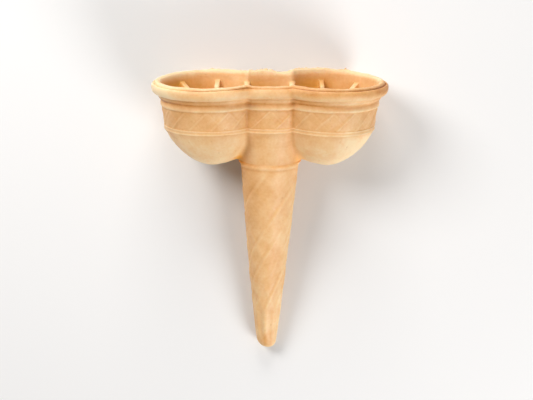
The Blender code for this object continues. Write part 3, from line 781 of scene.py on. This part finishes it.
def bake_and_shade(upright, stem, outside, tone):
    """How brown each point is, from where it lies: baked tone mixed with painted shade and painted light, raised and
    lower parts paler, grooves and creases browner; and the painted orange bounce light of the inside and the crevices.
    """
    u, v, w = np.abs(upright[:, 0]), np.abs(upright[:, 1]), upright[:, 2]
    out = np.where(stem > 0.5, along(STEM_TOAST, w), along(CUP_TOAST_AND_SHADE, w))
    # where the creases between the cups and the middle run, for their painted shade
    ws, cu, cv = [], [], []
    for w0, r, b, a, k, *_ in outer_profile()[::3]:
        cross = crossing(1, w0, r, b, a, k)
        ws.append(w0)
        cu.append(cross[0])
        cv.append(cross[1])
    low = separation()
    for i in range(12):
        w0 = lerp(-22.0, low + 0.05, i / 11)
        r, b, a, k = body_at(w0)
        cross = crossing(1, w0, r, b, a, k) or crossing(-1, w0, r, b, a, k)
        if cross:
            ws.append(w0)
            cu.append(cross[0])
            cv.append(cross[1])
    order = np.argsort(ws)
    ws, cu, cv = np.array(ws)[order], np.array(cu)[order], np.array(cv)[order]
    middle = (1.0 - smooth(u - np.interp(w, ws, cu), -1.6, 1.6)) * (stem < 0.5) * smooth(-w, 20.9, 22.4)
    out = lerp(out, along(FUNNEL_TOAST, w), middle)
    gap = np.hypot(u - np.interp(w, ws, cu), v - np.interp(w, ws, cv))
    crease = np.exp(-((gap / 1.5) ** 2)) * smooth(-w, 4.0, 9.0) * (w > low - 4.0)
    crevice = np.exp(-((np.hypot(u - 12.9, 0.9 * (w + 34.3)) / 2.7) ** 2)) * np.where(upright[:, 0] < 0, 1.0, 0.5) * (1 - smooth(v, 6.0, 10.0))
    # painted shade along the creases; the crevices beside the stem are painted paler, their painted orange bounce light
    # being added below
    out = out + 0.13 * crease * (1 - crevice) - 0.2 * crevice
    # painted highlight on the rim's left end, which is paler, and painted shade on its right end, which is browner; the
    # back of the rim on the left is made paler further down
    across, front = upright[:, 0], upright[:, 1]
    rim = (w > -7.0) & (stem < 0.5)
    out = out - 0.34 * smooth(-across, 36.0, 47.0) * rim + 0.10 * smooth(across, 42.0, 48.0) * rim
    patch = np.exp(-(((across + 11.5) / 3.6) ** 2)) * np.exp(-(((w + 1.15) / 0.45) ** 2)) * (front > 0)
    out = out + 0.55 * patch
    # painted shade under the bead, darkest on the left side of each lobe
    out = out + along(UNDER_BEAD_SHADE, across) * smooth(-w, 5.5, 6.0) * (1 - smooth(-w, 7.4, 8.2))
    # painted light: the right side of the right cup's dome paler, where the light falls on it
    out = out - 0.16 * smooth(across, 26.0, 36.0) * smooth(-w, 20.0, 23.0)
    # the stem's left side browner, more so near its top, and its right side paler: partly baked browning and partly
    # painted shade on the left, painted light on the right, where the light falls
    place = across / np.maximum(stem_half(w), 1.0)
    out = out + stem * (0.06 + 0.18 * smooth(-place, 0.1, 0.95)) * (1 - 0.8 * smooth(-w, 42.0, 62.0)) - 0.14 * stem * smooth(place, 0.35, 0.95)
    for place in (-25.0, -8.4, -3.2, 24.9, 33.2):
        out = out + 0.7 * np.exp(-((across - place) / 0.5) ** 2) * (front < 0) * smooth(w, -0.5, -0.05) * (stem < 0.5)
    # toasted streaks beside the tip
    streaks = (-0.5, -1.15, 0.95, 0.22), (1.9, -0.2, 0.7, 0.14)
    for place, lean, width, much in streaks:
        out = out + much * np.exp(-(((across - place - lean * 0.06 * (w + 117.0)) / width) ** 2)) * smooth(-w, 112.0, 116.0) * (1 - smooth(-w, 119.0, 120.6)) * (front > 0)
    # the front of the right cup's rim and of the middle's lip baked browner
    out = out + (front > 0) * rim * smooth(w, -5.8, -5.4) * ((0.39 - 0.28 * smooth(-w, 2.2, 4.6)) * smooth(across, 5.0, 14.0) + 0.22 * smooth(w, -1.8, -0.8) * (1 - smooth(np.abs(across), 8.0, 12.0)))
    inside = np.arange(len(u)) >= outside
    # painted shade inside: darker deeper down and by place across; the pale lip band above it reaches further down at
    # the left end, with the painted highlight there
    deep = 0.42 + 0.28 * smooth(-w, 1.0, 11.0) + along(INSIDE_SHADE_AND_LIGHT, across) * smooth(-w, 0.5, 4.0)
    lip = 0.14 + along(LIP_TOAST, across) * (front > 0)
    broad_lip = smooth(-across, 22.0, 36.0)
    out = np.where(inside, lerp(deep, lip, smooth(w, -1.9 + 0.9 * (front > 0) - 2.2 * broad_lip, -0.7 - 1.5 * broad_lip)), out)
    # the back of the rim on the left paler
    out = out - 0.20 * (front < 0) * smooth(-across, 12.0, 20.0) * smooth(w, -2.2, -1.0) * (stem < 0.5)
    # painted orange bounce light on the shaded sides of the inside and in the crevices beside the stem
    inside_bounce_glow = np.where(inside, along(INSIDE_BOUNCE_GLOW, across) * smooth(-w, 1.0, 6.0) * (1 - tone), 0.0)
    crevice_glow = np.where(inside, 0.0, np.clip(1.15 * crevice, 0.0, 1.0) * np.where(across > 0, 0.65, 1.0))
    return np.clip(out, 0.0, 1.2), inside_bounce_glow, crevice_glow


# height of the ragged edge left on the back of the lip, by place across
FLASH = [
    (-50.0, 0.0), (-27.0, 0.05), (-25.6, 0.3), (-25.0, 0.5), (-24.2, 0.15), (-20.0, 0.05), (-12.0, 0.1), (-9.6, 0.35), (-8.6, 0.8), (-6.5, 0.75),
    (-3.6, 1.05), (0.4, 1.05), (1.8, 0.4), (3.4, 0.12), (7.6, 0.12), (9.4, 0.6), (13.0, 0.8), (20.0, 0.75), (24.6, 0.8), (26.4, 0.5),
    (29.0, 0.35), (32.2, 0.45), (33.4, 0.95), (34.6, 0.4), (37.0, 0.15), (42.0, 0.0), (50.0, 0.0),
]


def flash(upright, stem):
    """Adds the ragged edge along the back of the lip, and a fainter unevenness along the front."""
    out = upright.copy()
    u, v, w = upright[:, 0], upright[:, 1], upright[:, 2]
    xs = np.array([p[0] for p in FLASH])
    ys = np.array([p[1] for p in FLASH])
    reach = smooth(w, -1.0, -0.25) * (stem < 0.5)
    back = np.interp(u, xs, ys) * smooth(-v, 5.0, 13.0)
    for i in np.nonzero(reach > 0.0)[0]:
        ragged = noise.fractal(Vector((u[i] * 0.9, v[i] * 0.9, 3.7)), 0.8, 2.0, 3)
        slow = noise.fractal(Vector((u[i] * 0.16, v[i] * 0.16, 8.1)), 0.8, 2.0, 2)
        out[i, 2] += reach[i] * (back[i] * (1.0 + 0.55 * ragged) + 0.20 * slow + 0.09 * ragged)
    return out


def slant_tip(upright, stem):
    """The stem's end leans: lower on its right, as moulded."""
    out = upright.copy()
    reach = smooth(-upright[:, 2], 112.0, 119.0) * (stem > 0.5)
    out[:, 2] -= 0.16 * reach * upright[:, 0]
    return out


def object_noise(points, scale, seed, octaves=2):
    """Fractal value in about -1..1 at each point, the same on every run."""
    out = np.empty(len(points))
    off = Vector((seed * 7.13, seed * 3.71, seed * 5.29))
    for i, p in enumerate(points):
        out[i] = noise.fractal(Vector(p) * scale + off, 0.7, 2.0, octaves)
    return out


def make_wafer():
    upright, stem, tone, faces, outside = build_wafer()
    toast_and_shade, inside_bounce_glow, crevice_glow = bake_and_shade(upright, stem, outside, np.clip(tone, 0.0, 1.0))
    # the lip's groove is fainter across the middle and round both ends
    faint = 0.8 * smooth(upright[:, 0], -14.0, -10.0) * (1 - smooth(upright[:, 0], 9.0, 13.0)) + 0.7 * smooth(-upright[:, 0], 33.0, 41.0) + 0.35 * smooth(upright[:, 0], 16.0, 24.0)
    # painted highlight: the fins are painted paler the further out they stand, where their tops catch the light; the
    # groove rows are painted browner, partly as painted shade
    toast_and_shade = toast_and_shade - 0.55 * tone * np.where(tone < 0.0, 1.0 - faint, 1.0)
    upright = slant_tip(flash(upright, stem), stem)
    lying = lay_down(upright, stem)
    data = bpy.data.meshes.new("wafer")
    data.from_pydata(lying.tolist(), [], faces)
    data.update()
    bm = bmesh.new()
    bm.from_mesh(data)
    bmesh.ops.recalc_face_normals(bm, faces=bm.faces)
    bm.to_mesh(data)
    bm.free()
    data.update()

    normals = np.empty(len(lying) * 3)
    data.vertices.foreach_get("normal", normals)
    normals = normals.reshape(-1, 3)

    u, v, w = upright[:, 0], upright[:, 1], upright[:, 2]
    # uneven baking: broad waves over the whole shell, finer ones on top
    broad = object_noise(upright, 0.055, 1.0)
    middle = object_noise(upright, 0.22, 2.0)
    fine = object_noise(upright, 0.75, 3.0)
    push = 0.16 * broad + 0.07 * middle + 0.035 * fine
    # pores: small round pits scattered over the surface
    pores = np.zeros(len(u))
    for i, p in enumerate(upright):
        q = Vector(p) * 0.34
        d = noise.voronoi(q, distance_metric="DISTANCE", exponent=2.0)[0][0]
        pores[i] = max(0.0, 1.0 - d / 0.14)
    push -= 0.16 * smooth(pores, 0.0, 0.8)
    lying = lying + normals * (push * MM)[:, None]
    lying[:, 2] = np.maximum(lying[:, 2], 0.00002)
    data.vertices.foreach_set("co", lying.astype(np.float32).ravel())
    data.update()

    for name, values in (("toast_and_shade", toast_and_shade), ("pores", pores), ("inside_bounce_glow", inside_bounce_glow), ("crevice_glow", crevice_glow)):
        layer = data.attributes.new(name, "FLOAT", "POINT")
        layer.data.foreach_set("value", values.astype(np.float32))
    data.shade_smooth()
    obj = bpy.data.objects.new("wafer_shell", data)
    bpy.context.scene.collection.objects.link(obj)
    print("WAFER", len(lying), "points", sum(len(f) - 2 for f in faces), "triangles")
    return obj


# ------------------------------------------------------------------ material
def node(tree, kind, x=0, y=0, **values):
    made = tree.nodes.new(kind)
    made.location = (x, y)
    for key, value in values.items():
        setattr(made, key, value)
    return made


def rgb(r, g, b):
    """sRGB 0..255 to linear."""
    return tuple((c / 12.92 if c <= 0.04045 else ((c + 0.055) / 1.055) ** 2.4) for c in (r / 255.0, g / 255.0, b / 255.0)) + (1.0,)


def wafer_material():
    mat = bpy.data.materials.new("wafer_baked")
    mat.use_nodes = True
    t = mat.node_tree
    t.nodes.clear()
    link = t.links.new
    out = node(t, "ShaderNodeOutputMaterial", 1400, 0)
    shader = node(t, "ShaderNodeBsdfPrincipled", 1100, 0)
    link(shader.outputs["BSDF"], out.inputs["Surface"])
    shader.inputs["Roughness"].default_value = 0.62
    shader.inputs["Specular IOR Level"].default_value = 0.5
    shader.inputs["Subsurface Weight"].default_value = 0.12
    shader.inputs["Subsurface Radius"].default_value = (1.0, 0.45, 0.15)
    shader.inputs["Subsurface Scale"].default_value = 0.0012
    shader.inputs["Sheen Weight"].default_value = 0.0

    coords = node(t, "ShaderNodeTexCoord", -1400, 0)

    def noise_at(scale, detail, x, y, rough=0.55):
        n = node(t, "ShaderNodeTexNoise", x, y)
        n.inputs["Scale"].default_value = scale
        n.inputs["Detail"].default_value = detail
        n.inputs["Roughness"].default_value = rough
        link(coords.outputs["Object"], n.inputs["Vector"])
        return n.outputs["Fac"]

    def mapped(value, a, b, lo=0.0, hi=1.0, x=0, y=0):
        m = node(t, "ShaderNodeMapRange", x, y)
        m.clamp = True
        m.inputs["From Min"].default_value = a
        m.inputs["From Max"].default_value = b
        m.inputs["To Min"].default_value = lo
        m.inputs["To Max"].default_value = hi
        link(value, m.inputs["Value"])
        return m.outputs["Result"]

    def mix(fac, one, two, x=0, y=0, blend="MIX"):
        m = node(t, "ShaderNodeMix", x, y, data_type="RGBA", blend_type=blend)
        for value, socket in ((fac, m.inputs[0]), (one, m.inputs[6]), (two, m.inputs[7])):
            if isinstance(value, (int, float, tuple)):
                socket.default_value = value
            else:
                link(value, socket)
        return m.outputs[2]

    broad = noise_at(42.0, 3.0, -1100, 300)
    patch = noise_at(170.0, 4.0, -1100, 60)
    grain = noise_at(900.0, 5.0, -1100, -180, 0.65)
    tiny = noise_at(3200.0, 3.0, -1100, -420, 0.6)

    def plus(one, two, amount, x, y):
        """one + amount * (two - 0.5)"""
        less = node(t, "ShaderNodeMath", x, y - 160, operation="SUBTRACT")
        link(two, less.inputs[0])
        less.inputs[1].default_value = 0.5
        m = node(t, "ShaderNodeMath", x, y, operation="MULTIPLY_ADD")
        link(less.outputs[0], m.inputs[0])
        m.inputs[1].default_value = amount
        link(one, m.inputs[2])
        return m.outputs[0]

    # how brown: by place, with its painted shade and painted light, then broad uneven baking, patches and fine grain
    baked_and_shaded = node(t, "ShaderNodeAttribute", -880, 520, attribute_name="toast_and_shade", attribute_type="GEOMETRY")
    brown = plus(baked_and_shaded.outputs["Fac"], broad, 0.55, -650, 460)
    brown = plus(brown, patch, 0.45, -470, 400)
    brown = plus(brown, grain, 0.34, -290, 340)
    # painted shade in hollows and painted light on ridges, from the mesh's pointiness
    geo = node(t, "ShaderNodeNewGeometry", -880, -820)
    brown = plus(brown, mapped(geo.outputs["Pointiness"], 0.47, 0.53, 1.0, 0.0, -650, -820), 0.20, -110, 280)
    ramp = node(t, "ShaderNodeValToRGB", 80, 280)
    stops = ramp.color_ramp.elements
    stops[0].position, stops[0].color = 0.0, rgb(252, 222, 176)
    stops[1].position, stops[1].color = 1.0, rgb(186, 114, 47)
    for place, value in ((0.22, rgb(246, 204, 150)), (0.42, rgb(239, 188, 130)), (0.62, rgb(229, 171, 107)), (0.82, rgb(213, 146, 75))):
        stops.new(place).color = value
    link(brown, ramp.inputs["Fac"])
    # painted orange bounce light on the shaded sides of the inside
    glow = node(t, "ShaderNodeAttribute", -110, 620, attribute_name="inside_bounce_glow", attribute_type="GEOMETRY")
    colour = mix(mapped(glow.outputs["Fac"], 0.0, 1.0, 0.0, 1.0, 80, 560), ramp.outputs["Color"], rgb(222, 163, 62), 260, 420)
    # painted orange bounce light in the crevices between the domes and the stem
    crevice_glow = node(t, "ShaderNodeAttribute", -110, 820, attribute_name="crevice_glow", attribute_type="GEOMETRY")
    colour = mix(mapped(crevice_glow.outputs["Fac"], 0.0, 1.0, 0.0, 1.0, 80, 760), colour, rgb(255, 178, 58), 420, 560)

    # pale flour specks, and pores coloured dark brown
    colour = mix(mapped(tiny, 0.64, 0.82, 0.0, 0.35, -650, -420), colour, rgb(252, 228, 190), 350, 150)
    pore = node(t, "ShaderNodeAttribute", -880, -640, attribute_name="pores", attribute_type="GEOMETRY")
    colour = mix(mapped(pore.outputs["Fac"], 0.25, 0.95, 0.0, 0.55, -650, -640), colour, rgb(165, 98, 44), 550, 120)
    link(colour, shader.inputs["Base Color"])

    rough = mapped(grain, 0.3, 0.8, 0.42, 0.66, 550, -200)
    link(rough, shader.inputs["Roughness"])

    bump = node(t, "ShaderNodeBump", 850, -350)
    bump.inputs["Strength"].default_value = 0.18
    bump.inputs["Distance"].default_value = 0.00022
    total = node(t, "ShaderNodeMath", 600, -400, operation="MULTIPLY_ADD")
    link(grain, total.inputs[0])
    total.inputs[1].default_value = 1.0
    link(tiny, total.inputs[2])
    link(total.outputs[0], bump.inputs["Height"])
    link(bump.outputs["Normal"], shader.inputs["Normal"])
    return mat


def floor_material():
    mat = bpy.data.materials.new("floor_pale")
    mat.use_nodes = True
    t = mat.node_tree
    shader = t.nodes["Principled BSDF"]
    shader.inputs["Roughness"].default_value = 0.8
    n = node(t, "ShaderNodeTexNoise", -600, 0)
    n.inputs["Scale"].default_value = 9.0
    ramp = node(t, "ShaderNodeValToRGB", -350, 0)
    ramp.color_ramp.elements[0].color = (0.84, 0.84, 0.85, 1)
    ramp.color_ramp.elements[1].color = (0.88, 0.88, 0.885, 1)
    t.links.new(n.outputs["Fac"], ramp.inputs["Fac"])
    t.links.new(ramp.outputs["Color"], shader.inputs["Base Color"])
    return mat


# ------------------------------------------------------------------ the piece
wafer = make_wafer()
wafer.data.materials.append(wafer_material())
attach(wafer, "root")
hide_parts("wafer_cone")

# ------------------------------------------------------------------ stage
half = 3.0
plane = bpy.data.meshes.new("floor")
plane.from_pydata([(-half, -half, 0.0), (half, -half, 0.0), (half, half, 0.0), (-half, half, 0.0)], [], [(0, 1, 2, 3)])
floor = bpy.data.objects.new("floor", plane)
bpy.context.scene.collection.objects.link(floor)
floor.data.materials.append(floor_material())


def turned(d):
    """Upright direction to the frame's."""
    return Vector((d[0], d[2] * math.cos(PITCH) - d[1] * math.sin(PITCH), d[2] * math.sin(PITCH) + d[1] * math.cos(PITCH)))


# the camera of the photograph's angle
ELEV, AZIM, ROLL = 0.26483713, 0.00686776, 0.00516523
UNIT, FAR, PIXELS = 0.435 * MM, 1400.0, 533.0
back = turned((-math.sin(AZIM) * math.cos(ELEV), math.cos(AZIM) * math.cos(ELEV), math.sin(ELEV)))
right = turned((math.cos(AZIM), math.sin(AZIM), 0.0))
up = turned((math.sin(AZIM) * math.sin(ELEV), -math.cos(AZIM) * math.sin(ELEV), math.cos(ELEV)))
right, up = (
    math.cos(ROLL) * right + math.sin(ROLL) * up,
    math.cos(ROLL) * up - math.sin(ROLL) * right,
)
aim = Vector(lay_down(np.array([[0.0, 0.0, -53.61]]), np.array([0.0]))[0])
eye = aim + back * FAR * UNIT
look = aim - right * 2.80 * UNIT + up * 0.41 * UNIT
toward = (eye - look).normalized()
side = up.cross(toward).normalized()
camera_data = bpy.data.cameras.new("camera")
camera_data.sensor_width = 36.0
camera_data.lens = 36.0 * FAR / PIXELS
camera_data.clip_start, camera_data.clip_end = 0.02, 10.0
camera = bpy.data.objects.new("camera", camera_data)
turn = Matrix((side, toward.cross(side), toward)).transposed().to_4x4()
camera.matrix_world = Matrix.Translation(eye) @ turn
bpy.context.scene.collection.objects.link(camera)
bpy.context.scene.camera = camera


def area(name, place, target, size, power, colour):
    light = bpy.data.lights.new(name, "AREA")
    light.shape = "DISK"
    light.size = size
    light.energy = power
    light.color = colour
    obj = bpy.data.objects.new(name, light)
    obj.location = place
    obj.rotation_euler = (Vector(place) - Vector(target)).to_track_quat("Z", "Y").to_euler()
    bpy.context.scene.collection.objects.link(obj)
    return obj


middle = (0.0, 0.0, 0.02)
area("key", (-0.42, 0.36, 0.52), middle, 0.35, 3.35, (1.0, 0.98, 0.95))
area("fill", (0.45, -0.45, 0.40), middle, 0.40, 3.9, (1.0, 0.99, 0.98))
area("over", (0.0, 0.65, 0.35), middle, 0.35, 2.2, (1.0, 0.98, 0.94))

world = bpy.data.worlds.new("studio")
world.use_nodes = True
world.node_tree.nodes["Background"].inputs["Color"].default_value = (1.0, 0.99, 0.98, 1.0)
world.node_tree.nodes["Background"].inputs["Strength"].default_value = 0.18
bpy.context.scene.world = world
bpy.context.scene.view_settings.view_transform = "Standard"
